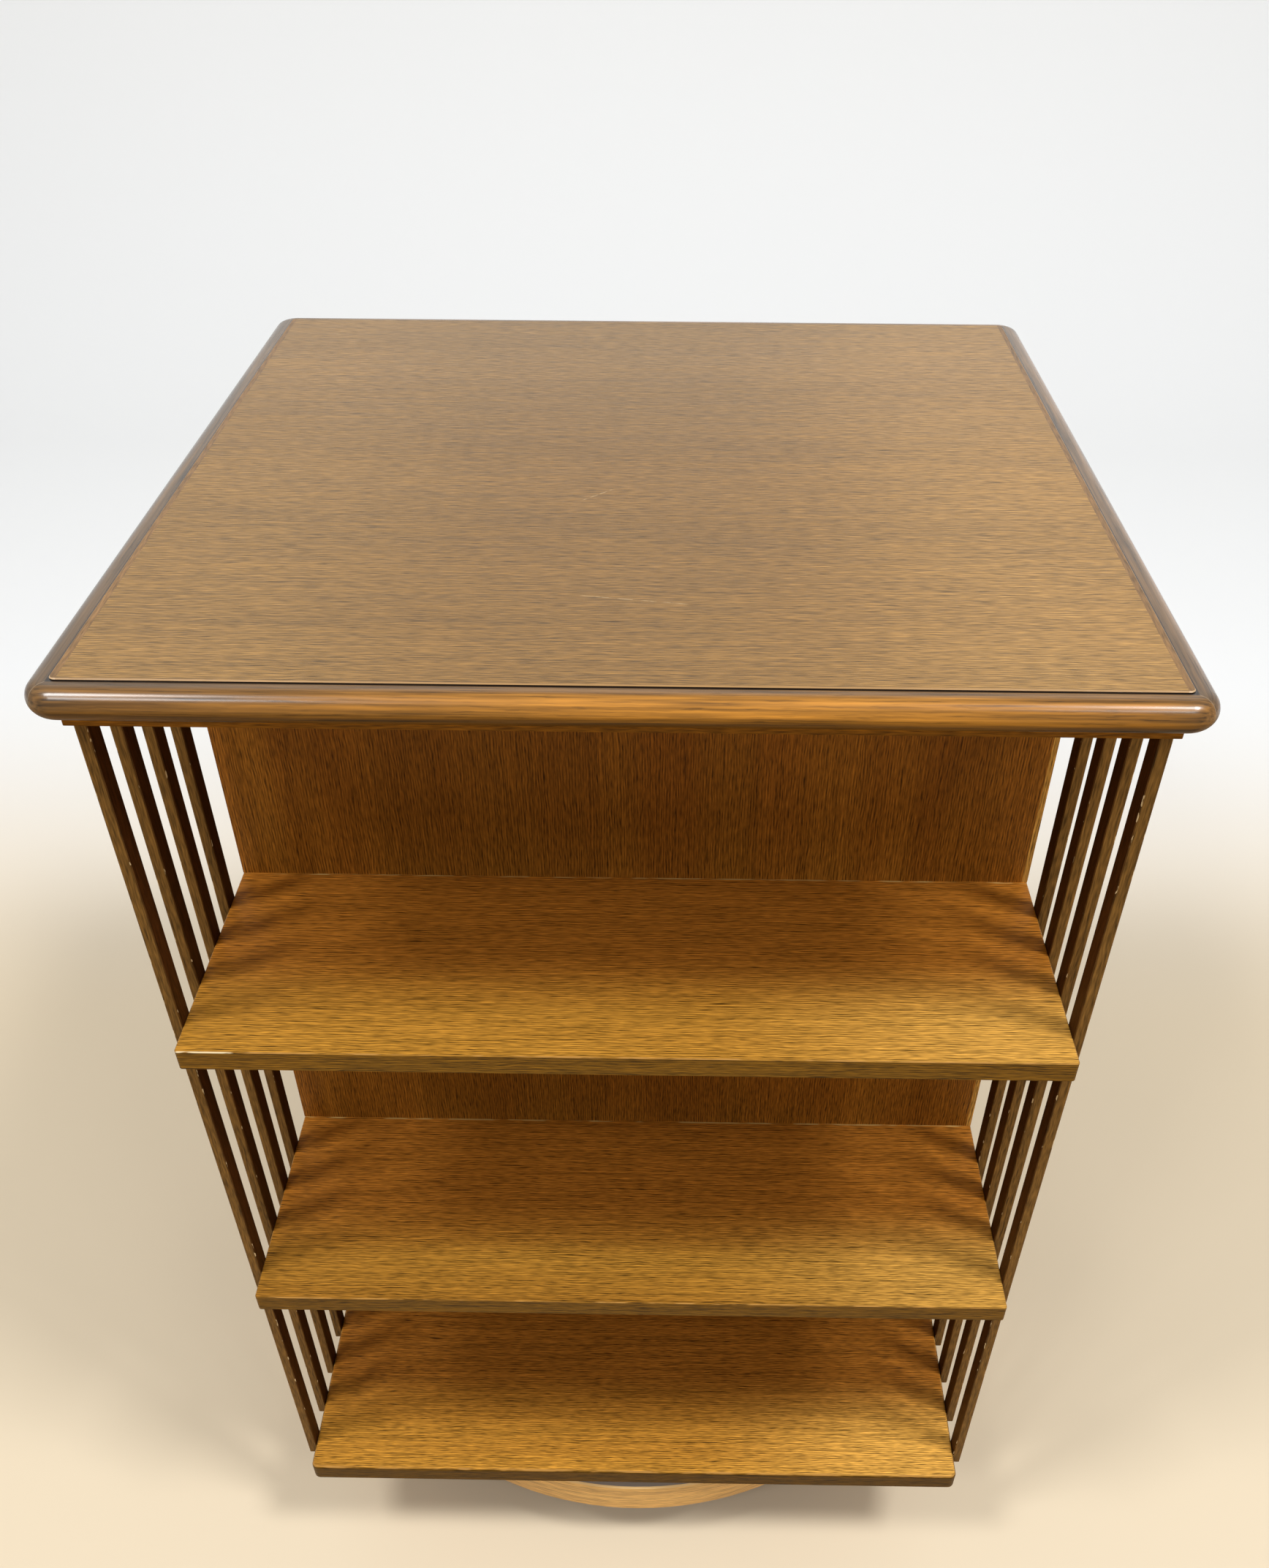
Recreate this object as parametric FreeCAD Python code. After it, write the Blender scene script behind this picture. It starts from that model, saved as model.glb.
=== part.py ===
import FreeCAD, Part
import math
import os

# Revolving bookcase, in millimetres.
# The origin is on the floor under the turning axis, +Z is up and the front faces -Y.
# The case (top, shelves, panels and slats) turns on a steel spindle that stands on the base.

V = FreeCAD.Vector
UP = V(0, 0, 1)

# Top
TOP_SIZE = 488.0              # flat field inside the moulding, both ways
TOP_THICKNESS = 16.5
FIELD_CORNER_R = 3.0          # plan corners of the field
FIELD_CHAMFER = 0.5           # worn upper edge of the field
FIELD_PROUD = 1.0             # field above the moulding's shoulder, which makes the quirk
LIPPING_WIDTH = 3.5           # solid strip at the left and right ends of the field
MOULDING_PROJECTION = 12.0
MOULDING_SHOULDER = 4.0       # flat between the field and the half-round nose

# Frieze board under the top
FRIEZE_HEIGHT = 5.5
FRIEZE_PROJECTION = 2.0       # front and back of the frieze beyond the field
FRIEZE_CORNER_R = 1.0

# Shelves
SHELF_WIDTH = 474.0
SHELF_DEPTH = 510.0
SHELF_THICKNESS = 13.5
SHELF_CORNER_R = 2.0
SHELF_CHAMFER = 0.6
BOTTOM_SHELF_THICKNESS = 15.0
BOTTOM_CORNER_R = 5.0
BOTTOM_ROUND_R = 2.5          # rounded upper edge of the bottom shelf

# Clear heights of the three tiers
UPPER_TIER = 191.5
MIDDLE_TIER = 205.6
LOWER_TIER = 199.6

# Upright boards
BAY_DEPTH = 153.0             # shelf front to the panel that backs the bay
PANEL_THICKNESS = 8.0
CORE_WIDTH = 96.0             # clear width of the spindle housing
CORE_SIDE_THICKNESS = 8.0

# Slats outside the shelves' side edges
SLAT_THICKNESS = 6.0
SLAT_WIDTH = 12.5
SLAT_PITCH = 33.3
SLATS_PER_BAY = 4
SLAT_SETBACK = 18.5           # shelf front to the first slat
SLAT_CHAMFER = 0.5
SLAT_END_RISE = 4.0           # slat's lower end above the bottom shelf's underside

# Base
RING_OUTER_R = 252.0
RING_WALL = 16.0              # thickness of the hoop
RING_HEIGHT = 32.0
RING_CHAMFER = 1.2            # all four edges of the hoop
RAIL_WIDTH = 44.0
RAIL_HEIGHT = 28.0
RAIL_END_INSET = 2.0          # rail end inside the ring's outer edge
RAIL_BEVEL = 12.0             # bevel under the rail's ends
RAIL_CHAMFER = 2.5            # upper long edges
LAP_FIT = 0.1                 # clearance in the half-lap
FOOT_HEIGHT = 22.0
FOOT_SOLE = 28.0              # square foot, tapered down to its sole
FOOT_WIDTH = 40.0
FOOT_CIRCLE_R = 214.0
TENON_WIDTH = 16.0
TENON_LENGTH = 16.0
RAIL_END_COUNT = 4            # one foot under each
DIAGONAL = 45.0               # degrees from +X to the first rail end
PEDESTAL_HEIGHT = 39.0
PEDESTAL_WIDTH = 112.0        # square pedestal, tapered up to its top
PEDESTAL_TOP_WIDTH = 86.0

# Spindle and its bearings
SPINDLE_R = 11.0
COLLAR_R = 26.0
COLLAR_THICKNESS = 6.0
NUT_SIZE = 36.0               # across the flats
NUT_HEIGHT = 12.0
WASHER_WIDTH = 50.0           # square plate
WASHER_THICKNESS = 3.0
SPINDLE_END = 2.0             # spindle's end below the nut
RUNNING_FIT = 0.05            # radial clearance of the spindle in the bush and the cup
SEAT_FIT = 0.1                # radial clearance of parts that don't turn in each other
BUSH_R = 17.0
BUSH_FLANGE_R = 32.0
BUSH_FLANGE_THICKNESS = 3.0
CASE_GAP = 4.3                # pedestal to the bush flange
SHELF_HOLE_R = 18.0           # free passage of the spindle through the two other shelves
CUP_PLATE_R = 44.0
CUP_PLATE_THICKNESS = 6.0
CUP_BOSS_R = 20.0
CUP_DEPTH = 26.0              # bore of the cup below the seat
TIP_GAP = 0.2                 # spindle tip to the seat

# Heights, from the floor up
Z_RAIL = FOOT_HEIGHT
Z_RAIL_TOP = Z_RAIL + RAIL_HEIGHT
Z_RING_TOP = Z_RAIL_TOP + RING_HEIGHT
Z_PEDESTAL_TOP = Z_RAIL_TOP + PEDESTAL_HEIGHT
Z_BOTTOM = Z_PEDESTAL_TOP + CASE_GAP + BUSH_FLANGE_THICKNESS
Z_BOTTOM_TOP = Z_BOTTOM + BOTTOM_SHELF_THICKNESS
Z_MIDDLE = Z_BOTTOM_TOP + LOWER_TIER
Z_MIDDLE_TOP = Z_MIDDLE + SHELF_THICKNESS
Z_UPPER = Z_MIDDLE_TOP + MIDDLE_TIER
Z_UPPER_TOP = Z_UPPER + SHELF_THICKNESS
Z_FRIEZE = Z_UPPER_TOP + UPPER_TIER
Z_TOP = Z_FRIEZE + FRIEZE_HEIGHT
Z_FIELD = Z_TOP + TOP_THICKNESS
Z_CUP_SEAT = Z_FRIEZE - CUP_PLATE_THICKNESS
Z_TIP = Z_CUP_SEAT - TIP_GAP

TIERS = {
    "upper": (Z_UPPER_TOP, Z_FRIEZE),
    "middle": (Z_MIDDLE_TOP, Z_UPPER),
    "lower": (Z_BOTTOM_TOP, Z_MIDDLE),
}


def box(x0, x1, y0, y1, z0, z1):
    return Part.makeBox(x1 - x0, y1 - y0, z1 - z0, V(x0, y0, z0))


def cylinder(radius, z0, z1, x=0.0, y=0.0):
    return Part.makeCylinder(radius, z1 - z0, V(x, y, z0))


def turned(wire_parts):
    """Solid of revolution about the axis, from edges drawn in the XZ plane."""
    face = Part.Face(Part.Wire(wire_parts))
    return face.revolve(V(0, 0, 0), UP, 360)


def line(a, b):
    return Part.LineSegment(V(a[0], 0, a[1]), V(b[0], 0, b[1])).toShape()


def arc(a, middle, b):
    return Part.Arc(*[V(p[0], 0, p[1]) for p in (a, middle, b)]).toShape()


def polyline(points):
    return [line(a, b) for a, b in zip(points, points[1:])]


def level_edges(shape, z):
    """Edges that lie flat at one height."""
    near = 1e-6
    return [e for e in shape.Edges if abs(e.BoundBox.ZMin - z) < near and abs(e.BoundBox.ZMax - z) < near]


def rounded_slab(width, depth, z0, z1, corner_r):
    """Board with round plan corners."""
    slab = box(-width / 2, width / 2, -depth / 2, depth / 2, z0, z1)
    upright = [e for e in slab.Edges if e.BoundBox.ZLength > (z1 - z0) / 2]
    return slab.makeFillet(corner_r, upright)


def tapered_block(low_width, high_width, z0, z1):
    """Square block about the axis whose width changes evenly from bottom to top."""
    low, high = low_width / 2, high_width / 2
    block = Part.makeWedge(-low, z0, -low, -high, -high, low, z1, low, high, high)
    block.rotate(V(0, 0, 0), V(1, 0, 0), 90)
    return block


def around(count, radius, start):
    """Points spaced evenly round the axis, from a start angle in degrees."""
    step = 360.0 / count
    angles = [math.radians(start + step * i) for i in range(count)]
    return [(radius * math.cos(a), radius * math.sin(a)) for a in angles]


def top_pieces():
    """The veneered panel, its two lippings and the four moulding strips."""
    half = TOP_SIZE / 2
    slab = rounded_slab(TOP_SIZE, TOP_SIZE, Z_TOP, Z_FIELD, FIELD_CORNER_R)
    slab = slab.makeChamfer(FIELD_CHAMFER, level_edges(slab, Z_FIELD))
    seam = half - LIPPING_WIDTH
    pieces = {
        "top_panel": slab.common(box(-seam, seam, -half, half, Z_TOP, Z_FIELD)),
        "top_lipping_left": slab.common(box(-half, -seam, -half, half, Z_TOP, Z_FIELD)),
        "top_lipping_right": slab.common(box(seam, half, -half, half, Z_TOP, Z_FIELD)),
    }
    strip = moulding_strip()
    for side, angle in (("front", 0), ("right", 90), ("back", 180), ("left", 270)):
        turned_strip = strip.copy()
        turned_strip.rotate(V(0, 0, 0), UP, angle)
        pieces["top_moulding_" + side] = turned_strip
    return pieces


def moulding_strip():
    """Front strip: a half-round nose swept along the edge and round half of each corner."""
    half = TOP_SIZE / 2
    run = half - FIELD_CORNER_R
    z_shoulder = Z_FIELD - FIELD_PROUD
    z_middle = (z_shoulder + Z_TOP) / 2

    def at(u, z):
        return V(run, -half - u, z)

    nose = Part.Arc(at(MOULDING_SHOULDER, z_shoulder), at(MOULDING_PROJECTION, z_middle),
                    at(MOULDING_SHOULDER, Z_TOP)).toShape()
    corners = [at(MOULDING_SHOULDER, Z_TOP), at(0, Z_TOP), at(0, z_shoulder),
               at(MOULDING_SHOULDER, z_shoulder)]
    sides = [Part.LineSegment(a, b).toShape() for a, b in zip(corners, corners[1:])]
    profile = Part.Face(Part.Wire([nose] + sides))
    straight = profile.extrude(V(-2 * run, 0, 0))
    right_end = profile.revolve(V(run, -run, 0), UP, 45)
    left_end = right_end.mirror(V(0, 0, 0), V(1, 0, 0))
    return straight.fuse([right_end, left_end]).removeSplitter()


def frieze_board():
    """Thin board that covers the upper ends of the slats."""
    width = SHELF_WIDTH + 2 * SLAT_THICKNESS
    depth = TOP_SIZE + 2 * FRIEZE_PROJECTION
    return rounded_slab(width, depth, Z_FRIEZE, Z_TOP, FRIEZE_CORNER_R)


def shelf(z0):
    """Shelf board with eased edges and a free hole for the spindle."""
    z1 = z0 + SHELF_THICKNESS
    board = rounded_slab(SHELF_WIDTH, SHELF_DEPTH, z0, z1, SHELF_CORNER_R)
    board = board.makeChamfer(SHELF_CHAMFER, level_edges(board, z0) + level_edges(board, z1))
    return board.cut(cylinder(SHELF_HOLE_R, z0, z1))


def bottom_shelf():
    """Thicker shelf with rounder edges, bored for the guide bush."""
    board = rounded_slab(SHELF_WIDTH, SHELF_DEPTH, Z_BOTTOM, Z_BOTTOM_TOP, BOTTOM_CORNER_R)
    board = board.makeFillet(BOTTOM_ROUND_R, level_edges(board, Z_BOTTOM_TOP))
    board = board.makeChamfer(SHELF_CHAMFER, level_edges(board, Z_BOTTOM))
    return board.cut(cylinder(BUSH_R + SEAT_FIT, Z_BOTTOM, Z_BOTTOM_TOP))


def upright_boards():
    """Bay-backing panels and the sides of the spindle housing, in each tier."""
    half = SHELF_WIDTH / 2
    face = SHELF_DEPTH / 2 - BAY_DEPTH
    inner = face - PANEL_THICKNESS
    core = CORE_WIDTH / 2
    outer = core + CORE_SIDE_THICKNESS
    boards = {}
    for tier, (z0, z1) in TIERS.items():
        boards[tier + "_front_panel"] = box(-half, half, -face, -inner, z0, z1)
        boards[tier + "_rear_panel"] = box(-half, half, inner, face, z0, z1)
        boards[tier + "_core_left"] = box(-outer, -core, -inner, inner, z0, z1)
        boards[tier + "_core_right"] = box(core, outer, -inner, inner, z0, z1)
    return boards


def slats():
    """Upright strips on the left and right sides, the same in the front and rear bays."""
    inner = SHELF_WIDTH / 2
    z0 = Z_BOTTOM + SLAT_END_RISE
    front = -SHELF_DEPTH / 2 + SLAT_SETBACK
    front_bay = [front + SLAT_PITCH * i for i in range(SLATS_PER_BAY)]
    rear_bay = [-y - SLAT_WIDTH for y in reversed(front_bay)]
    strips = {}
    for i, y in enumerate(front_bay + rear_bay, 1):
        strip = box(inner, inner + SLAT_THICKNESS, y, y + SLAT_WIDTH, z0, Z_FRIEZE)
        upright = [e for e in strip.Edges if e.BoundBox.ZLength > SLAT_WIDTH + SLAT_THICKNESS]
        strip = strip.makeChamfer(SLAT_CHAMFER, upright)
        strips["slat_right_%d" % i] = strip
        strips["slat_left_%d" % i] = strip.mirror(V(0, 0, 0), V(1, 0, 0))
    return strips


def spindle_bearings():
    """Guide bush in the bottom shelf, and the pivot cup that rests on the spindle's tip."""
    bore = SPINDLE_R + RUNNING_FIT
    z_flange = Z_BOTTOM - BUSH_FLANGE_THICKNESS
    bush = cylinder(BUSH_FLANGE_R, z_flange, Z_BOTTOM).fuse(cylinder(BUSH_R, Z_BOTTOM, Z_BOTTOM_TOP))
    z_mouth = Z_CUP_SEAT - CUP_DEPTH
    cup = cylinder(CUP_PLATE_R, Z_CUP_SEAT, Z_FRIEZE).fuse(cylinder(CUP_BOSS_R, z_mouth, Z_CUP_SEAT))
    return {
        "guide_bush": bush.removeSplitter().cut(cylinder(bore, z_flange, Z_BOTTOM_TOP)),
        "pivot_cup": cup.removeSplitter().cut(cylinder(bore, z_mouth, Z_CUP_SEAT)),
    }


def spindle_pieces():
    """Steel spindle with its collar and round tip, and the washer and nut that clamp it."""
    z_washer = Z_RAIL - WASHER_THICKNESS
    z_nut = z_washer - NUT_HEIGHT
    z_end = z_nut - SPINDLE_END
    z_collar = Z_PEDESTAL_TOP - COLLAR_THICKNESS
    z_dome = Z_TIP - SPINDLE_R
    slant = SPINDLE_R * math.sqrt(0.5)
    outline = polyline([(0, z_end), (SPINDLE_R, z_end), (SPINDLE_R, z_collar), (COLLAR_R, z_collar),
                        (COLLAR_R, Z_PEDESTAL_TOP), (SPINDLE_R, Z_PEDESTAL_TOP), (SPINDLE_R, z_dome)])
    outline.append(arc((SPINDLE_R, z_dome), (slant, z_dome + slant), (0, Z_TIP)))
    outline.append(line((0, Z_TIP), (0, z_end)))

    hole_r = SPINDLE_R + SEAT_FIT
    corner = NUT_SIZE / math.sqrt(3)
    hexagon = [V(x, y, z_nut) for x, y in around(6, corner, 0)]
    nut = Part.Face(Part.makePolygon(hexagon + hexagon[:1])).extrude(V(0, 0, NUT_HEIGHT))
    edge = WASHER_WIDTH / 2
    washer = box(-edge, edge, -edge, edge, z_washer, Z_RAIL)
    washer.rotate(V(0, 0, 0), UP, DIAGONAL)
    return {
        "spindle": turned(outline),
        "spindle_nut": nut.cut(cylinder(hole_r, z_nut, z_washer)),
        "spindle_washer": washer.cut(cylinder(hole_r, z_washer, Z_RAIL)),
    }


def pedestal():
    """Tapered block on the cross, bored for the spindle and its collar."""
    block = tapered_block(PEDESTAL_WIDTH, PEDESTAL_TOP_WIDTH, Z_RAIL_TOP, Z_PEDESTAL_TOP)
    collar_seat = cylinder(COLLAR_R + SEAT_FIT, Z_PEDESTAL_TOP - COLLAR_THICKNESS, Z_PEDESTAL_TOP)
    return block.cut([collar_seat, cylinder(SPINDLE_R + SEAT_FIT, Z_RAIL_TOP, Z_PEDESTAL_TOP)])


def rail(lap_z0, lap_z1, angle):
    """Cross rail along X with bevelled ends, lapped at the middle, then turned to its angle."""
    end = RING_OUTER_R - RAIL_END_INSET
    bevel = end - RAIL_BEVEL
    outline = [(-end, Z_RAIL_TOP), (-end, Z_RAIL + RAIL_BEVEL), (-bevel, Z_RAIL), (bevel, Z_RAIL),
               (end, Z_RAIL + RAIL_BEVEL), (end, Z_RAIL_TOP), (-end, Z_RAIL_TOP)]
    profile = Part.Face(Part.Wire(polyline(outline)))
    profile.translate(V(0, -RAIL_WIDTH / 2, 0))
    bar = profile.extrude(V(0, RAIL_WIDTH, 0))
    long_edges = [e for e in level_edges(bar, Z_RAIL_TOP) if e.BoundBox.XLength > RAIL_WIDTH]
    bar = bar.makeChamfer(RAIL_CHAMFER, long_edges)
    bar = bar.common(cylinder(end, Z_RAIL, Z_RAIL_TOP))
    lap = RAIL_WIDTH / 2 + LAP_FIT
    cuts = [box(-lap, lap, -lap, lap, lap_z0, lap_z1), cylinder(SPINDLE_R + SEAT_FIT, Z_RAIL, Z_RAIL_TOP)]
    mortise = TENON_WIDTH / 2 + SEAT_FIT
    z_mortise = Z_RAIL + TENON_LENGTH + SEAT_FIT
    for x in (-FOOT_CIRCLE_R, FOOT_CIRCLE_R):
        cuts.append(box(x - mortise, x + mortise, -mortise, mortise, Z_RAIL, z_mortise))
    bar = bar.cut(cuts)
    bar.rotate(V(0, 0, 0), UP, angle)
    return bar


def foot():
    """Square foot with a tenon in the rail, on the axis before it is moved out along +X."""
    half = TENON_WIDTH / 2
    block = tapered_block(FOOT_SOLE, FOOT_WIDTH, 0, FOOT_HEIGHT)
    solid = block.fuse(box(-half, half, -half, half, FOOT_HEIGHT, FOOT_HEIGHT + TENON_LENGTH))
    solid.translate(V(FOOT_CIRCLE_R, 0, 0))
    return solid


def base_pieces():
    """Hoop, cross rails, feet and pedestal."""
    ring = cylinder(RING_OUTER_R, Z_RAIL_TOP, Z_RING_TOP)
    ring = ring.cut(cylinder(RING_OUTER_R - RING_WALL, Z_RAIL_TOP, Z_RING_TOP))
    ring_edges = level_edges(ring, Z_RAIL_TOP) + level_edges(ring, Z_RING_TOP)
    z_lap = (Z_RAIL + Z_RAIL_TOP) / 2
    pieces = {
        "base_ring": ring.makeChamfer(RING_CHAMFER, ring_edges),
        "base_rail_lower": rail(z_lap, Z_RAIL_TOP, DIAGONAL),
        "base_rail_upper": rail(Z_RAIL, z_lap, -DIAGONAL),
        "pedestal": pedestal(),
    }
    for i in range(RAIL_END_COUNT):
        solid = foot()
        solid.rotate(V(0, 0, 0), UP, DIAGONAL + 360.0 / RAIL_END_COUNT * i)
        pieces["foot_%d" % (i + 1)] = solid
    return pieces


def all_pieces():
    pieces = top_pieces()
    pieces["frieze_board"] = frieze_board()
    pieces["upper_shelf"] = shelf(Z_UPPER)
    pieces["middle_shelf"] = shelf(Z_MIDDLE)
    pieces["bottom_shelf"] = bottom_shelf()
    pieces.update(upright_boards())
    pieces.update(slats())
    pieces.update(spindle_bearings())
    pieces.update(spindle_pieces())
    pieces.update(base_pieces())
    return pieces


os.makedirs("parts", exist_ok=True)
for name, shape in all_pieces().items():
    shape.exportStep("parts/%s.step" % name)
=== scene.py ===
import bpy
import math
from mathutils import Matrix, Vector


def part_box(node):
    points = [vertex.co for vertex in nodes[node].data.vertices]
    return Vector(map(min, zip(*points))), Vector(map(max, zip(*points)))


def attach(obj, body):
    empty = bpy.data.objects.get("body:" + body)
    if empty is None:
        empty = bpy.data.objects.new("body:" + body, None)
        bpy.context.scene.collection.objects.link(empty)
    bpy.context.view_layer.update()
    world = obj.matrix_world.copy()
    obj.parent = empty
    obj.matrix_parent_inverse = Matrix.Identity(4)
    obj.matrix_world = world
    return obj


# Revolving bookcase: finishes, small fasteners, light and camera.
# Metres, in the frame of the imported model: +Z is up and the front faces -Y.

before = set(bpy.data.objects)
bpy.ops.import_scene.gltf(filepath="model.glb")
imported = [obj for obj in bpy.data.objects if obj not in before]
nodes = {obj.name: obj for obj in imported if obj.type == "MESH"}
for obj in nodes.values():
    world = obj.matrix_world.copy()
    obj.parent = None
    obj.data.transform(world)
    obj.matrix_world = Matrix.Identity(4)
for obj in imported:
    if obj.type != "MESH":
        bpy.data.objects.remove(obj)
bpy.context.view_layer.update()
FIELD_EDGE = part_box("top_lipping_right")[1][0]
PANEL_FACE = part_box("upper_front_panel")[0][1]
PANEL_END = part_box("upper_front_panel")[1][0]
RING_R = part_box("base_ring")[1][0]

# Camera
CAMERA_PLACE = (0.0235, -0.7580, 1.0542)
CAMERA_TURN = (47.918, -0.273, 0.834)      # degrees about X, Y and Z
CAMERA_LENS = 31.48                        # millimetres, on a 36 mm sensor
CAMERA_SHIFT = (-0.0172, 0.1238)

# Light: watts and place of each lamp
WORLD_COLOUR = (0.40, 0.395, 0.38)
LAMP_SIZE = 0.8
LAMP_AIM = (0.0, 0.0, 0.4)
LAMPS = {
    "lamp_left": (72.0, (-1.9, -1.08, 4.0)),
    "lamp_right": (99.0, (1.9, -1.08, 4.0)),
    "fill_left": (40.0, (-1.9, -2.9, 4.0)),
    "fill_right": (22.0, (1.9, -2.9, 4.0)),
}

# Floor that sweeps up into a pale backdrop
STAGE_HALF_WIDTH = 6.0
FLOOR_FRONT = -6.0
FLOOR_FADE = (0.30, 1.10)                  # floor tone turns into the backdrop's, along Y
COVE_START = 2.0
COVE_RADIUS = 0.8
COVE_STEPS = 12
BACKDROP_HEIGHT = 4.0
FLOOR_COLOUR = (0.70, 0.59, 0.43)
BACKDROP_COLOUR = (0.82, 0.83, 0.84)
STAGE_ROUGHNESS = 0.75

# Small fasteners
PIN_R = 0.0015                             # panel pins through the slats
PIN_HEIGHT = 0.0005
PIN_DOME = 0.7                             # width of the top, as a share of the head's
SCREW_R = 0.004
SCREW_HEIGHT = 0.0012
SCREW_SLOT = 0.0011
SCREW_FLOOR = 0.45                         # height of the slot's floor, as a share of the head's
SCREW_DISC = 0.97                          # width of the disc's top and of the lands on it
SCREW_LAND = 0.9                           # width of a land's top, as a share of its foot's
HEAD_SHOULDER = 0.35                       # share of a solid's height over which its top draws in
RING_WALL = 0.016
CUP_PLATE = 0.006
RING_SCREWS = 4
BUSH_SCREWS = 4
CUP_SCREWS = 4
BUSH_SCREW_INSET = 2 * SCREW_R             # from the flange's rim to the middle of a screw
CUP_SCREW_INSET = 3 * SCREW_R
RING_SCREW_TURN = 45.0                     # degrees from +X to the first rail end
ROUND_STEPS = 20

# Metals: colour and roughness, patches of tone and fine scuffs
STEEL = ((0.50, 0.50, 0.51), 0.35)
IRON = ((0.10, 0.10, 0.11), 0.55)
BRASS = ((0.60, 0.44, 0.18), 0.4)
MOTTLE_RATE = 90.0                         # per metre
MOTTLE_DARK = 0.7                          # share of the colour in the darkest patches
MOTTLE_ROUGHNESS = 0.2                     # spread of the roughness
SCUFF_RATE = 700.0
SCUFF_STRENGTH = 0.1
SCUFF_DEPTH = 0.0002

# Grain; rates are per metre, along the grain and across it, and ranges are parts of a noise
FINE_RATES = (110.0, 1050.0)
STREAK_RATES = (14.0, 480.0)
DRIFT_RATES = (1.6, 26.0)
DRIFT_RANGE = (0.3, 0.7)
PORE_RATES = (80.0, 1500.0)
PORE_RANGE = (0.59, 0.67)
RIPPLE_RATES = (80.0, 40.0)                # gentle waves that bend all the grain
RIPPLE_SIZE = 0.0005
LINE_PITCH = 0.0016                        # from one line of the grain to the next
LINE_WANDER = 12.0                         # radians by which the lines stray from an even pitch
WANDER_RATES = (28.0, 260.0)
BREAK_RATES = (130.0, 700.0)               # gaps in the lines
BREAK_RANGE = (0.35, 0.6)
DARKEST_GRAIN = 0.15                       # share of a wood's colour left in its darkest lines
GRAIN_DEPTH = 0.0003
FINE_HEIGHT = 0.5                          # relief of the fine grain, as a share of the pores'

# Slopes: a part of the normal where one kind of face turns into the next
LEVEL_TO_ARRIS = (0.95, 0.85)
UPRIGHT_TO_ARRIS = (0.40, 0.60)
ARRIS_TO_QUIRK = (0.4, 0.2)
ARRIS_TO_EDGE = (0.85, 0.55)
EDGE_TO_UNDERSIDE = (-0.6, -0.9)
NOSE_TO_SHADED_UNDERSIDE = (0.15, -0.5)
POLISHED = (-0.15, 0.35)
DUSTY = (0.85, 0.97)

# Top: where its colour gains, and by how much; the gain to the right is painted light from the right-hand
# lamp
TOP_STRENGTH = 0.87
TOP_RIGHT_LIGHT = (0.02, 0.22)                   # along X; painted light
TOP_RIGHT_LIGHT_GAIN = 0.32
TOP_LEFT = (-0.08, -0.22)
TOP_LEFT_GAIN = 0.10
TOP_DRIFT_GAIN = 0.10
TOP_SIDES = (0.05, 0.20)                   # from the middle, along X either way
TOP_BACK_REFLECTION = (-0.05, 0.22)                   # along Y; paler, cooler back as a painted reflection
SCRATCHES = (((-0.0257, -0.0532), (-0.0101, -0.0385)), ((-0.0196, -0.1629), (0.0266, -0.1698)))
SCRATCH_HALF_WIDTH = 0.0007
SCRATCH_FADE = 0.003                       # at either end
SCRATCH_BREAKS = 260.0                     # per metre
SCRATCH_STRENGTH = 0.5
FIELD_QUIRK_SHADOW = (0.020, 0.011, 0.005)        # painted shadow on the field's upright edge, along the dark groove round the field

# Top moulding: distances out from the field's edge, unless said otherwise, and strengths of its marks
# Darker shoulder beside the field: stained wood and painted shade
STAIN_AND_SHADE = (0.0095, 0.0020)
STAIN_AND_SHADE_STRENGTH = 0.8
# Painted shadow and dirt in the quirk
QUIRK = (0.0013, 0.0006)
CORNER = (-0.022, 0.006)                   # along the strip, near its ends
CORNER_STRENGTH = 0.5
MITRE = (0.0006, 0.0002)                   # from the mitre's line; painted highlight along the joint
MITRE_HIGHLIGHT_STRENGTH = 0.4
LEFT_DARK_REFLECTION = (0.02, -0.25)                       # along X; painted reflection of a dark room, towards the left
LEFT_DARK_REFLECTION_STRENGTH = 0.75

# Shelves
SHELF_TONES = {                            # strength of colour, set shelf by shelf for how each is lit: front, painted-shade part behind it, edges
    "upper_shelf": (0.82, 0.86, 0.98),
    "middle_shelf": (0.71, 0.82, 0.88),
    "bottom_shelf": (1.00, 0.70, 0.60),
}
SHELF_RIGHT_LIGHT = (0.03, 0.22)                 # painted light and painted sheen to the right, along X
SHELF_SHADED_BEHIND = (0.225, 0.170)              # redder part as painted shade, from the middle along Y either way
RUB_SCALE = (60.0, 300.0, 300.0)           # broken wear along the arrises, per metre
RUB_RANGE = (0.42, 0.62)
JOINT_WIDTH = 0.0011                       # pale line in front of the panel
JOINT_FADE = 0.0003
CHIP = (-0.237, -0.209)                    # damaged stretch of the upper shelf's front edge, along X
CHIP_FADE = 0.004
CHIP_FRONT = (0.0006, 0.0003)              # back from the front face
CHIP_TOP = (0.0011, 0.0007)                # down from the upper face
CHIP_SCALE = (90.0, 420.0, 420.0)
CHIP_RANGE = (0.36, 0.48)

# Panels: joints between leaves of veneer, along X, with the change of tone from one leaf to the next
# The darker step at 0.160 also stands in as painted shade against the stronger right-hand lamp
VENEER_SEAMS = {-0.149: -0.14, -0.0195: 0.08, 0.074: 0.12, 0.160: -0.12}
SEAM_HALF_WIDTH = 0.0004
STRIP = (0.0036, 0.0030)                   # light strip, in from the right-hand end

# Slats
INWARD = (-0.12, -0.20)                    # normal's X times place along X, on faces that look into the case, where shade is painted
NICK_SCALE = (400.0, 400.0, 110.0)
NICK_RANGE = (0.64, 0.68)
SLAT_TONE = 0.5                            # least strength of colour, to which a noise along Y is added
SLAT_TONE_SCALE = (0.0, 40.0, 0.0)


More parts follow.
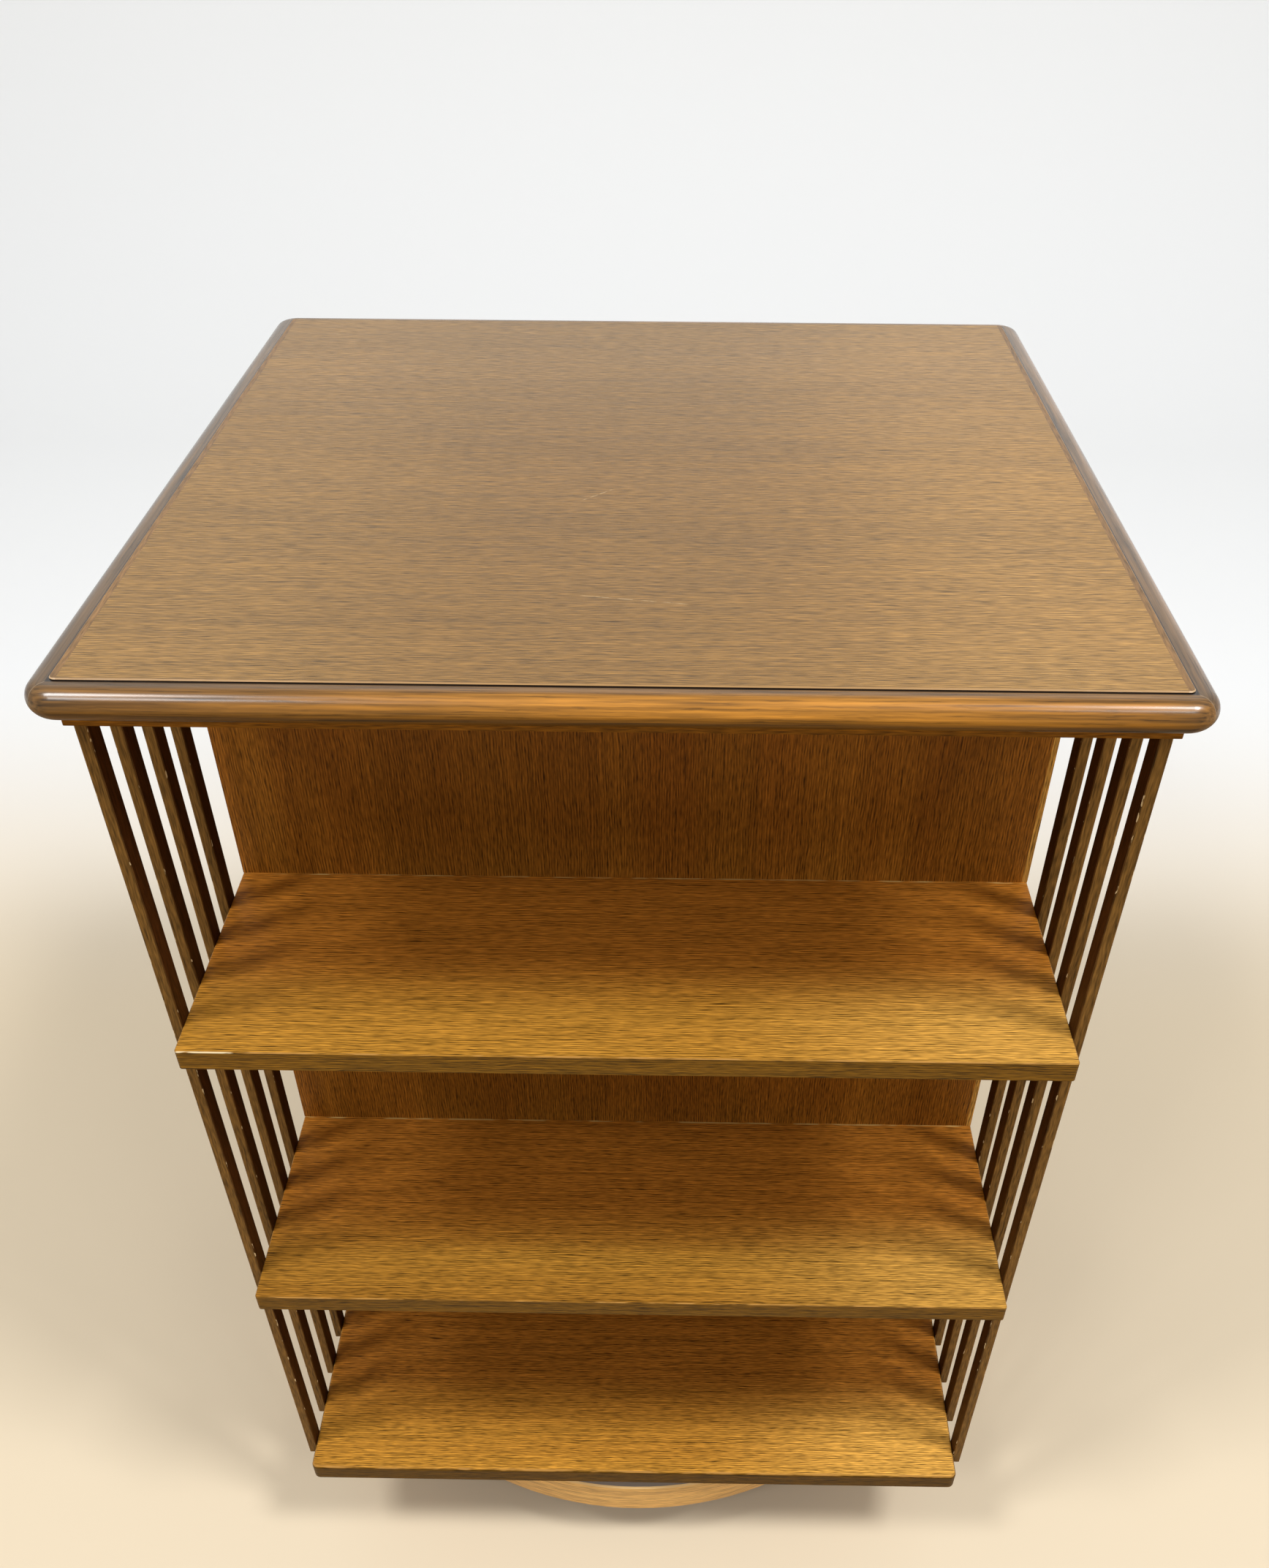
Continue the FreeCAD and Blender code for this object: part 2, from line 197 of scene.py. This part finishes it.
class Graph:
    """Short hand for one material's node tree."""

    def __init__(self, name):
        self.material = bpy.data.materials.new(name)
        self.material.use_nodes = True
        self.tree = self.material.node_tree
        self.tree.nodes.clear()

    def node(self, kind, inputs=(), **settings):
        """New node; inputs maps a socket's name or number to a value or to another node's output."""
        made = self.tree.nodes.new("ShaderNode" + kind)
        for key, value in settings.items():
            setattr(made, key, value)
        for key, value in dict(inputs).items():
            if isinstance(value, bpy.types.NodeSocket):
                self.tree.links.new(value, made.inputs[key])
            else:
                made.inputs[key].default_value = value
        return made

    def coords(self):
        return self.node("TexCoord").outputs["Object"]

    def normal(self):
        return self.node("TexCoord").outputs["Normal"]

    def split(self, vector):
        return self.node("SeparateXYZ", {0: vector}).outputs

    def join(self, x, y, z):
        return self.node("CombineXYZ", {0: x, 1: y, 2: z}).outputs[0]

    def math(self, operation, a, b=0.0):
        return self.node("Math", {0: a, 1: b}, operation=operation).outputs[0]

    def size(self, value):
        """Value without its sign."""
        return self.math("ABSOLUTE", value)

    def both(self, first, *others):
        """Product of masks."""
        for other in others:
            first = self.math("MULTIPLY", first, other)
        return first

    def weigh(self, start, *terms):
        """Start value plus each (value, weight)."""
        for value, weight in terms:
            inputs = {0: value, 1: weight, 2: start}
            start = self.node("Math", inputs, operation="MULTIPLY_ADD").outputs[0]
        return start

    def stretch(self, vector, scale, turn=0.0):
        """Coordinates turned about Z, by degrees, and scaled."""
        inputs = {"Vector": vector, "Rotation": (0, 0, math.radians(turn)), "Scale": scale}
        return self.node("Mapping", inputs).outputs[0]

    def noise(self, vector, scale=1.0, detail=2.0, roughness=0.5):
        inputs = {"Vector": vector, "Scale": scale, "Detail": detail, "Roughness": roughness}
        return self.node("TexNoise", inputs).outputs["Fac"]

    def step(self, value, low, high):
        """Smooth rise from 0 at low to 1 at high; it falls where low is above high."""
        inputs = {"Value": value, "From Min": low, "From Max": high}
        return self.node("MapRange", inputs, interpolation_type="SMOOTHSTEP").outputs[0]

    def band(self, value, low, high, soft):
        """1 from low to high, falling off over soft on either side."""
        return self.both(self.step(value, low - soft, low), self.step(value, high + soft, high))

    def patches(self, scale, low, high):
        """Mask of patches of noise, at a scale per axis and metre."""
        return self.step(self.noise(self.stretch(self.coords(), scale)), low, high)

    def mix(self, amount, a, b):
        """Colour a turned into b by an amount from 0 to 1."""
        a, b = [(*c, 1) if isinstance(c, tuple) else c for c in (a, b)]
        return self.node("Mix", {0: amount, 6: a, 7: b}, data_type="RGBA").outputs[2]

    def layer(self, colour, *coats):
        """Colour with (mask, colour) coats laid over it in turn."""
        for mask, coat in coats:
            colour = self.mix(mask, colour, coat)
        return colour

    def scale(self, colour, factor):
        return self.node("VectorMath", {0: colour, "Scale": factor}, operation="SCALE").outputs[0]

    def bump(self, height, strength, distance):
        inputs = {"Height": height, "Strength": strength, "Distance": distance}
        return self.node("Bump", inputs).outputs[0]

    def finish(self, colour, roughness, plain, **sockets):
        """Principled surface from a colour; plain stands for it where nodes aren't read."""
        sockets.update(Base_Color=colour, Roughness=roughness)
        surface = self.node("BsdfPrincipled", {key.replace("_", " "): v for key, v in sockets.items()})
        surface.inputs["Base Color"].default_value = (*plain, 1)
        self.node("OutputMaterial", {0: surface.outputs[0]})
        return self.material


class Wood:
    """Grain of one board along an axis: broken lines, fine flecks, streaks, drifts of tone and pores."""

    def __init__(self, graph, along, place=None, fine=FINE_RATES, streak=STREAK_RATES, drift=DRIFT_RATES):
        self.graph = graph
        self.along = along
        place = graph.coords() if place is None else place
        ripple = graph.noise(self.spread(place, RIPPLE_RATES), detail=1.0)
        axes = zip("XYZ", graph.split(place))
        bent = [v if axis == along else graph.weigh(v, (ripple, RIPPLE_SIZE)) for axis, v in axes]
        place = graph.join(*bent)
        self.fine = graph.noise(self.spread(place, fine), detail=1.0)
        self.streak = graph.noise(self.spread(place, streak), detail=3.0, roughness=0.6)
        self.drift = graph.step(graph.noise(self.spread(place, drift), detail=1.0), *DRIFT_RANGE)
        self.pore = graph.step(graph.noise(self.spread(place, PORE_RATES), detail=1.0), *PORE_RANGE)
        self.line = self.lines(place)

    def lines(self, place):
        """Close lines along the grain, from -1 to 1, that wander and break off."""
        graph = self.graph
        wander = graph.noise(self.spread(place, WANDER_RATES), detail=1.0)
        breaks = graph.noise(self.spread(place, BREAK_RATES), detail=0.0)
        across = [v for axis, v in zip("XYZ", graph.split(place)) if axis != self.along]
        rate = 2 * math.pi / LINE_PITCH
        phase = graph.weigh(0.0, (wander, LINE_WANDER), *[(v, rate) for v in across])
        return graph.both(graph.math("SINE", phase), graph.step(breaks, *BREAK_RANGE))

    def spread(self, place, rates):
        """Coordinates scaled by one rate along the grain and another across it, per metre."""
        return self.graph.stretch(place, [rates[0] if axis == self.along else rates[1] for axis in "XYZ"])

    def shade(self, colour, fine, streak, pore, line=0.0):
        """Colour made lighter and darker by the grain; the amounts say how strongly."""
        even = 1 - (fine + streak) / 2
        factor = self.graph.weigh(even, (self.fine, fine), (self.streak, streak), (self.pore, -pore),
                                  (self.line, line))
        return self.graph.scale(colour, self.graph.math("MAXIMUM", factor, DARKEST_GRAIN))

    def relief(self, strength):
        """Normal with open pores and a faint grain."""
        height = self.graph.weigh(0.0, (self.fine, FINE_HEIGHT), (self.pore, -1.0))
        return self.graph.bump(height, strength, GRAIN_DEPTH)

    def gloss(self, roughness, spread=0.2):
        """Roughness that follows the grain."""
        return self.graph.weigh(roughness - spread / 2, (self.streak, spread))


def scratch(graph, start, end):
    """Mask of a straight, broken scratch between two points of the plan."""
    x, y, _ = graph.split(graph.coords())
    run = Vector(end) - Vector(start)
    u = run.normalized()
    along = graph.weigh(-u.dot(Vector(start)), (x, u.x), (y, u.y))
    across = graph.weigh(u.y * start[0] - u.x * start[1], (x, -u.y), (y, u.x))
    length = graph.band(along, 0.0, run.length, SCRATCH_FADE)
    width = graph.step(graph.size(across), SCRATCH_HALF_WIDTH, 0.0)
    broken = graph.step(graph.noise(graph.coords(), SCRATCH_BREAKS), *BREAK_RANGE)
    return graph.both(length, width, broken, SCRATCH_STRENGTH)


def top_material():
    """Veneer paler at the sides, paler at the back as a painted reflection and lighter to the right as
    painted light, with a lighter arris over a dark quirk of painted shadow.
    """
    middle = (0.213, 0.111, 0.028)
    sides = (0.232, 0.127, 0.036)
    back = (0.230, 0.132, 0.046)
    arris = (0.36, 0.20, 0.07)
    bare = (0.50, 0.36, 0.19)
    graph = Graph("top_veneer")
    wood = Wood(graph, "X", drift=(1.1, 16.0))
    x, y, _ = graph.split(graph.coords())
    _, _, nz = graph.split(graph.normal())
    colour = graph.mix(graph.step(graph.size(x), *TOP_SIDES), middle, sides)
    # Paler, cooler back: painted reflection
    colour = graph.mix(graph.step(y, *TOP_BACK_REFLECTION), colour, back)
    colour = wood.shade(colour, fine=1.3, streak=1.0, pore=0.12, line=0.36)
    # Painted light: lighter towards the right, from the right-hand lamp; lighter too towards the left end
    # and with the drift
    strength = graph.weigh(TOP_STRENGTH, (graph.step(x, *TOP_RIGHT_LIGHT), TOP_RIGHT_LIGHT_GAIN),
                           (graph.step(x, *TOP_LEFT), TOP_LEFT_GAIN), (wood.drift, TOP_DRIFT_GAIN))
    scratches = [(scratch(graph, *ends), bare) for ends in SCRATCHES]
    # Painted shadow on the field's upright edge, at the quirk
    colour = graph.layer(graph.scale(colour, strength), (graph.step(nz, *LEVEL_TO_ARRIS), arris),
                         (graph.step(nz, *ARRIS_TO_QUIRK), FIELD_QUIRK_SHADOW), *scratches)
    return graph.finish(colour, wood.gloss(roughness=0.38), middle, Normal=wood.relief(strength=0.2),
                        Specular_IOR_Level=0.4)


def lipping_material():
    """Solid strip at an end of the field, with the same arris, and the same painted shadow at the quirk.
    """
    base = (0.20, 0.105, 0.036)
    arris = (0.50, 0.33, 0.18)
    graph = Graph("lipping_wood")
    wood = Wood(graph, "Y")
    _, _, nz = graph.split(graph.normal())
    colour = wood.shade(base, fine=1.4, streak=0.9, pore=0.2)
    # Painted shadow on the upright edge, at the quirk
    colour = graph.layer(colour, (graph.step(nz, *LEVEL_TO_ARRIS), arris),
                         (graph.step(nz, *ARRIS_TO_QUIRK), FIELD_QUIRK_SHADOW))
    return graph.finish(colour, wood.gloss(roughness=0.38), base, Normal=wood.relief(strength=0.2),
                        Specular_IOR_Level=0.4)


def moulding_material(along, base, rich):
    """Polished half-round with a painted reflection of a dark room to the left, painted shade with
    stained wood beside the field, stained corners, painted shade underneath, a painted highlight along
    the mitres and a painted shadow with dirt in the quirk.
    """
    dark_reflection = (0.060, 0.031, 0.010)
    stain_and_shade = (0.10, 0.055, 0.020)
    underside = (0.100, 0.042, 0.004)
    quirk = (0.010, 0.005, 0.003)
    joint = (0.30, 0.22, 0.14)
    graph = Graph("moulding_wood_" + along)
    wood = Wood(graph, along, fine=(20.0, 900.0), streak=(8.0, 300.0))
    x, y, _ = graph.split(graph.coords())
    _, _, nz = graph.split(graph.normal())
    far_x = graph.size(x)
    far_y = graph.size(y)
    out = graph.math("SUBTRACT", graph.math("MAXIMUM", far_x, far_y), FIELD_EDGE)
    along_strip = graph.math("SUBTRACT", graph.math("MINIMUM", far_x, far_y), FIELD_EDGE)
    off_mitre = graph.size(graph.math("SUBTRACT", far_x, far_y))
    colour = graph.layer(graph.mix(wood.drift, base, rich),
                         # Painted reflection of a dark room towards the left
                         (graph.both(graph.step(x, *LEFT_DARK_REFLECTION), LEFT_DARK_REFLECTION_STRENGTH), dark_reflection),
                         # Stained wood and painted shade beside the field; stained wood alone at the
                         # corners
                         (graph.both(graph.step(out, *STAIN_AND_SHADE), STAIN_AND_SHADE_STRENGTH), stain_and_shade),
                         (graph.both(graph.step(along_strip, *CORNER), CORNER_STRENGTH), stain_and_shade),
                         # Painted shade underneath the nose
                         (graph.step(nz, *NOSE_TO_SHADED_UNDERSIDE), underside))
    colour = wood.shade(colour, fine=1.5, streak=2.5, pore=0.2)
    # Painted highlight along the mitre
    colour = graph.layer(colour, (graph.both(graph.step(off_mitre, *MITRE), MITRE_HIGHLIGHT_STRENGTH), joint),
                         # Painted shadow and dirt in the quirk
                         (graph.step(out, *QUIRK), quirk))
    return graph.finish(colour, wood.gloss(roughness=0.40, spread=0.15), base,
                        Normal=wood.relief(strength=0.2), Coat_Weight=graph.step(nz, *POLISHED),
                        Coat_Roughness=0.23, Specular_IOR_Level=0.1)


def frieze_material():
    """Plain brown board under the top."""
    base = (0.215, 0.079, 0.005)
    graph = Graph("frieze_wood")
    wood = Wood(graph, "X")
    colour = wood.shade(base, fine=1.8, streak=1.2, pore=0.2)
    return graph.finish(colour, wood.gloss(roughness=0.5), base, Normal=wood.relief(strength=0.15),
                        Specular_IOR_Level=0.06)


def chip(graph, low, high):
    """Mask of the ragged, bare stretch of a shelf's upper front arris; low and high bound the shelf."""
    x, y, z = graph.split(graph.coords())
    front = graph.step(y, *[low[1] + depth for depth in CHIP_FRONT])
    top = graph.step(z, *[high[2] - depth for depth in CHIP_TOP])
    return graph.both(graph.band(x, *CHIP, CHIP_FADE), front, top, graph.patches(CHIP_SCALE, *CHIP_RANGE))


def shelf_material(name):
    """Golden upper face with painted light and sheen to the right and painted shade as a redder part
    behind, with brown edges and a worn arris.
    """
    gold = (0.42, 0.195, 0.024)
    amber = (0.35, 0.152, 0.018)
    painted_light_right = (0.60, 0.31, 0.056)
    red = (0.43, 0.157, 0.018)
    edge = (0.148, 0.067, 0.005)
    underside = (0.22, 0.09, 0.012)
    worn = (0.40, 0.20, 0.045)
    joint = (0.50, 0.31, 0.10)
    bare = (0.72, 0.57, 0.34)
    front_tone, back_tone, edge_tone = SHELF_TONES[name]
    low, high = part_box(name)
    graph = Graph(name + "_wood")
    wood = Wood(graph, "X")
    x, y, _ = graph.split(graph.coords())
    _, _, nz = graph.split(graph.normal())
    # Painted light and painted sheen towards the right-hand end
    front = graph.mix(graph.step(x, *SHELF_RIGHT_LIGHT), graph.mix(wood.drift, gold, amber), painted_light_right)
    # Painted shade: redder part behind, darker shelf by shelf
    behind = graph.step(graph.size(y), *SHELF_SHADED_BEHIND)
    colour = graph.layer(graph.scale(front, front_tone),
                         (behind, tuple(c * back_tone for c in red)),
                         (graph.step(nz, *ARRIS_TO_EDGE), tuple(c * edge_tone for c in edge)),
                         (graph.step(nz, *EDGE_TO_UNDERSIDE), underside))
    colour = wood.shade(colour, fine=1.5, streak=1.3, pore=0.12, line=0.46)
    rub = graph.patches(RUB_SCALE, *RUB_RANGE)
    arris = graph.both(graph.step(nz, *UPRIGHT_TO_ARRIS), graph.step(nz, *LEVEL_TO_ARRIS), rub)
    at_panel = graph.band(y, PANEL_FACE - JOINT_WIDTH, PANEL_FACE, JOINT_FADE)
    colour = graph.layer(colour, (arris, worn), (graph.both(at_panel, rub), joint))
    if name == "upper_shelf":
        colour = graph.mix(chip(graph, low, high), colour, bare)
    return graph.finish(colour, wood.gloss(roughness=0.48), gold, Normal=wood.relief(strength=0.3),
                        Specular_IOR_Level=0.09)


def panel_material():
    """Dark upright veneer in leaves, with a lighter strip at its right-hand end."""
    base = (0.285, 0.108, 0.011)
    red = (0.255, 0.089, 0.009)
    strip = (0.44, 0.215, 0.040)
    graph = Graph("panel_wood")
    wood = Wood(graph, "Z", fine=(160.0, 1050.0))
    x, _, _ = graph.split(graph.coords())
    # Leaf tones; the darker leaf at the right-hand end also carries painted shade
    leaf = graph.weigh(1.0, *[(graph.step(x, seam - SEAM_HALF_WIDTH, seam + SEAM_HALF_WIDTH), change)
                              for seam, change in VENEER_SEAMS.items()])
    colour = graph.scale(graph.mix(wood.drift, base, red), leaf)
    colour = graph.mix(graph.step(x, *[PANEL_END - inset for inset in STRIP]), colour, strip)
    colour = wood.shade(colour, fine=1.3, streak=1.0, pore=0.12, line=0.42)
    return graph.finish(colour, wood.gloss(roughness=0.50), base, Normal=wood.relief(strength=0.3),
                        Specular_IOR_Level=0.10)


def slat_material():
    """Brown strips of varied tone, with painted shade on the faces that look into the case, and pale
    nicks.
    """
    base = (0.150, 0.073, 0.016)
    shaded_inner = (0.044, 0.014, 0.003)
    nick = (0.60, 0.44, 0.24)
    graph = Graph("slat_wood")
    wood = Wood(graph, "Z", streak=(8.0, 420.0))
    x, _, _ = graph.split(graph.coords())
    nx, ny, _ = graph.split(graph.normal())
    # Painted shade on the faces that look into the case
    inward_shade = graph.step(graph.math("MULTIPLY", nx, x), *INWARD)
    arris = graph.both(*[graph.step(graph.size(n), *UPRIGHT_TO_ARRIS) for n in (nx, ny)])
    varied = graph.noise(graph.stretch(graph.coords(), SLAT_TONE_SCALE), detail=0.0)
    colour = wood.shade(graph.mix(inward_shade, base, shaded_inner), fine=1.8, streak=1.2, pore=0.2)
    colour = graph.scale(colour, graph.weigh(SLAT_TONE, (varied, 1.0)))
    colour = graph.mix(graph.both(arris, graph.patches(NICK_SCALE, *NICK_RANGE)), colour, nick)
    return graph.finish(colour, wood.gloss(roughness=0.48), base, Normal=wood.relief(strength=0.15),
                        Specular_IOR_Level=0.06)


def ring_material():
    """Light bent wood with its grain round the hoop, dusty on top, with a painted highlight and wear on
    its eased edges.
    """
    base = (0.63, 0.36, 0.10)
    brown = (0.50, 0.26, 0.07)
    arris = (0.80, 0.52, 0.22)
    dust = (0.36, 0.31, 0.26)
    graph = Graph("ring_wood")
    x, y, z = graph.split(graph.coords())
    _, _, nz = graph.split(graph.normal())
    turn = graph.math("MULTIPLY", graph.math("ARCTAN2", y, x), RING_R)
    radius = graph.math("SQRT", graph.weigh(0.0, (x, x), (y, y)))
    wood = Wood(graph, "X", place=graph.join(turn, radius, z), fine=(60.0, 500.0), streak=(7.0, 170.0))
    colour = wood.shade(graph.mix(wood.drift, base, brown), fine=0.8, streak=1.1, pore=0.1, line=0.3)
    slope = graph.size(nz)
    # Painted highlight, with wear, on the eased edges
    rounded_highlight = graph.both(graph.step(slope, *UPRIGHT_TO_ARRIS), graph.step(slope, *LEVEL_TO_ARRIS))
    colour = graph.layer(colour, (rounded_highlight, arris), (graph.step(nz, *DUSTY), dust))
    return graph.finish(colour, wood.gloss(roughness=0.45), base, Normal=wood.relief(strength=0.15),
                        Specular_IOR_Level=0.35)


def base_material(name, along, turn=0.0):
    """Plain brown wood of the hidden base; turn brings a rail's own direction onto X."""
    base = (0.20, 0.095, 0.028)
    graph = Graph(name)
    wood = Wood(graph, along, place=graph.stretch(graph.coords(), (1, 1, 1), turn))
    colour = wood.shade(base, fine=0.9, streak=1.3, pore=0.3)
    return graph.finish(colour, wood.gloss(roughness=0.5), base, Normal=wood.relief(strength=0.25))


def metal_material(name, colour, roughness):
    """Mottled metal with fine scuffs."""
    graph = Graph(name)
    mottle = graph.noise(graph.coords(), MOTTLE_RATE, detail=3.0)
    shade = graph.mix(mottle, tuple(c * MOTTLE_DARK for c in colour), colour)
    rough = graph.weigh(roughness - MOTTLE_ROUGHNESS / 2, (mottle, MOTTLE_ROUGHNESS))
    scuffs = graph.bump(graph.noise(graph.coords(), SCUFF_RATE), SCUFF_STRENGTH, SCUFF_DEPTH)
    return graph.finish(shade, rough, colour, Metallic=1.0, Normal=scuffs)


def stage_material():
    """Floor colour that turns into the backdrop's."""
    graph = Graph("stage")
    _, y, _ = graph.split(graph.coords())
    colour = graph.mix(graph.step(y, *FLOOR_FADE), FLOOR_COLOUR, BACKDROP_COLOUR)
    return graph.finish(colour, STAGE_ROUGHNESS, FLOOR_COLOUR)


def dress(steel, iron, brass):
    """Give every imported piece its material."""
    front_back = moulding_material("X", base=(0.47, 0.195, 0.020), rich=(0.22, 0.090, 0.010))
    # Side strips: a darker, greyer copy of the front's wood, as painted shade and painted sheen
    left_right = moulding_material("Y", base=(0.23, 0.125, 0.055), rich=(0.16, 0.085, 0.036))
    lipping = lipping_material()
    panel = panel_material()
    slat = slat_material()
    foot = base_material("foot_wood", "Z")
    looks = {
        "top_panel": top_material(),
        "top_lipping_left": lipping,
        "top_lipping_right": lipping,
        "top_moulding_front": front_back,
        "top_moulding_back": front_back,
        "top_moulding_left": left_right,
        "top_moulding_right": left_right,
        "frieze_board": frieze_material(),
        "base_ring": ring_material(),
        "base_rail_lower": base_material("rail_lower_wood", "X", -RING_SCREW_TURN),
        "base_rail_upper": base_material("rail_upper_wood", "X", RING_SCREW_TURN),
        "pedestal": foot,
        "spindle": steel,
        "spindle_nut": steel,
        "spindle_washer": steel,
        "pivot_cup": iron,
        "guide_bush": brass,
    }
    for name, piece in nodes.items():
        if name.endswith("_shelf"):
            looks[name] = shelf_material(name)
        elif name.endswith(("_front_panel", "_rear_panel")) or "_core_" in name:
            looks[name] = panel
        elif name.startswith("slat_"):
            looks[name] = slat
        elif name.startswith("foot_"):
            looks[name] = foot
        piece.material_slots[0].material = looks[name]


def add_piece(name, points, faces, material, body, slot):
    """Mesh object of the part that rides on a body."""
    mesh = bpy.data.meshes.new(name)
    mesh.from_pydata(points, [], faces)
    mesh.materials.append(material)
    mesh.validate()
    piece = bpy.data.objects.new(name, mesh)
    bpy.context.scene.collection.objects.link(piece)
    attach(piece, body)


def prism(outline, low, high, inset):
    """Closed solid on a convex outline, with its top drawn in by a factor; points and faces along +Z."""
    count = len(outline)
    middle = [sum(p[i] for p in outline) / count for i in (0, 1)]
    drawn = [[m + (v - m) * inset for v, m in zip(p, middle)] for p in outline]
    shoulder = high - (high - low) * HEAD_SHOULDER
    levels = ((outline, low), (outline, shoulder), (drawn, high))
    points = [(*p, z) for ring, z in levels for p in ring]
    faces = [tuple(reversed(range(count))), tuple(range(2 * count, 3 * count))]
    for level in (0, count):
        for i in range(count):
            j = (i + 1) % count
            faces.append((level + i, level + j, level + count + j, level + count + i))
    return points, faces


def arc(radius, start, end, steps):
    """Points of the plan from one angle to another, both ends included."""
    angles = [start + (end - start) * i / steps for i in range(steps + 1)]
    return [(radius * math.cos(a), radius * math.sin(a)) for a in angles]


def circle(radius):
    return arc(radius, 0.0, 2 * math.pi, ROUND_STEPS)[:-1]


def pin_solids():
    """Domed pin head."""
    return [prism(circle(PIN_R), 0.0, PIN_HEIGHT, PIN_DOME)]


def screw_solids():
    """Slotted screw head: a low disc under two lands on either side of the slot."""
    half_slot = math.asin(SCREW_SLOT / 2 / SCREW_R)
    floor = SCREW_HEIGHT * SCREW_FLOOR
    disc = prism(circle(SCREW_R), 0.0, floor, SCREW_DISC)
    land = arc(SCREW_R * SCREW_DISC, half_slot, math.pi - half_slot, ROUND_STEPS // 2)
    other = [(-x, -y) for x, y in land]
    return [disc] + [prism(outline, floor, SCREW_HEIGHT, SCREW_LAND) for outline in (land, other)]


def repeated(solids, places):
    """Points and faces of the solids set at each (place, direction of the head)."""
    points, faces = [], []
    for place, facing in places:
        turn = Vector(facing).to_track_quat("Z", "Y")
        for solid_points, solid_faces in solids:
            first = len(points)
            points += [Vector(place) + turn @ Vector(p) for p in solid_points]
            faces += [tuple(first + i for i in face) for face in solid_faces]
    return points, faces


def around(count, radius, z):
    """Points spaced evenly round the axis at one height, from the first rail end on."""
    angles = [math.radians(RING_SCREW_TURN) + 2 * math.pi * i / count for i in range(count)]
    return [(radius * math.cos(a), radius * math.sin(a), z) for a in angles]


def middle_of(node, axis):
    low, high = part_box(node)
    return (low[axis] + high[axis]) / 2


def slat_pins():
    """Place and direction of each pin that holds a slat to a shelf."""
    heights = [middle_of(name, 2) for name in nodes if name.endswith("_shelf")]
    pins = []
    for name in nodes:
        if name.startswith("slat_"):
            low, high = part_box(name)
            side = 1 if high[0] > 0 else -1
            x = high[0] if side > 0 else low[0]
            pins += [((x, middle_of(name, 1), z), (side, 0, 0)) for z in heights]
    return pins


def fasteners(steel, brass):
    """Pins of the slats, and the screws of the hoop, the bush and the cup."""
    add_piece("slat_pins", *repeated(pin_solids(), slat_pins()), steel, "case", "spindle_steel")

    up, down = (0, 0, 1), (0, 0, -1)
    ring_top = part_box("base_ring")[1][2]
    ring = [(p, up) for p in around(RING_SCREWS, RING_R - RING_WALL / 2, ring_top)]
    add_piece("ring_screws", *repeated(screw_solids(), ring), brass, "base", "bush_brass")

    flange_low, flange_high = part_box("guide_bush")
    bush = [(p, down) for p in around(BUSH_SCREWS, flange_high[0] - BUSH_SCREW_INSET, flange_low[2])]
    add_piece("bush_screws", *repeated(screw_solids(), bush), brass, "case", "bush_brass")

    plate_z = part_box("frieze_board")[0][2] - CUP_PLATE
    plate_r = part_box("pivot_cup")[1][0]
    cup = [(p, down) for p in around(CUP_SCREWS, plate_r - CUP_SCREW_INSET, plate_z)]
    add_piece("cup_screws", *repeated(screw_solids(), cup), steel, "case", "spindle_steel")


def backdrop():
    """Floor and backdrop in one sheet."""
    profile = [(FLOOR_FRONT, 0.0)]
    for i in range(COVE_STEPS + 1):
        angle = math.pi / 2 * i / COVE_STEPS
        profile.append((COVE_START + COVE_RADIUS * math.sin(angle), COVE_RADIUS * (1 - math.cos(angle))))
    profile.append((COVE_START + COVE_RADIUS, BACKDROP_HEIGHT))
    points = [(x, y, z) for y, z in profile for x in (-STAGE_HALF_WIDTH, STAGE_HALF_WIDTH)]
    faces = [(2 * i, 2 * i + 1, 2 * i + 3, 2 * i + 2) for i in range(len(profile) - 1)]
    mesh = bpy.data.meshes.new("stage")
    mesh.from_pydata(points, [], faces)
    mesh.materials.append(stage_material())
    mesh.polygons.foreach_set("use_smooth", [True] * len(faces))
    sweep = bpy.data.objects.new("stage", mesh)
    bpy.context.scene.collection.objects.link(sweep)


def lights():
    """Even surroundings and soft lamps."""
    world = bpy.data.worlds.new("studio")
    world.use_nodes = True
    world.node_tree.nodes["Background"].inputs["Color"].default_value = (*WORLD_COLOUR, 1)
    bpy.context.scene.world = world
    for name, (power, place) in LAMPS.items():
        lamp = bpy.data.lights.new(name, "AREA")
        lamp.size = LAMP_SIZE
        lamp.energy = power
        holder = bpy.data.objects.new(name, lamp)
        holder.location = place
        holder.rotation_mode = "QUATERNION"
        holder.rotation_quaternion = (Vector(LAMP_AIM) - Vector(place)).to_track_quat("-Z", "Y")
        bpy.context.scene.collection.objects.link(holder)


def camera():
    """The photograph's viewpoint."""
    lens = bpy.data.cameras.new("camera")
    lens.lens = CAMERA_LENS
    lens.shift_x, lens.shift_y = CAMERA_SHIFT
    holder = bpy.data.objects.new("camera", lens)
    holder.location = CAMERA_PLACE
    holder.rotation_euler = [math.radians(a) for a in CAMERA_TURN]
    bpy.context.scene.collection.objects.link(holder)
    bpy.context.scene.camera = holder


steel = metal_material("spindle_steel", *STEEL)
iron = metal_material("cup_iron", *IRON)
brass = metal_material("bush_brass", *BRASS)
dress(steel, iron, brass)
fasteners(steel, brass)
backdrop()
lights()
camera()
bpy.context.scene.view_settings.view_transform = "Standard"
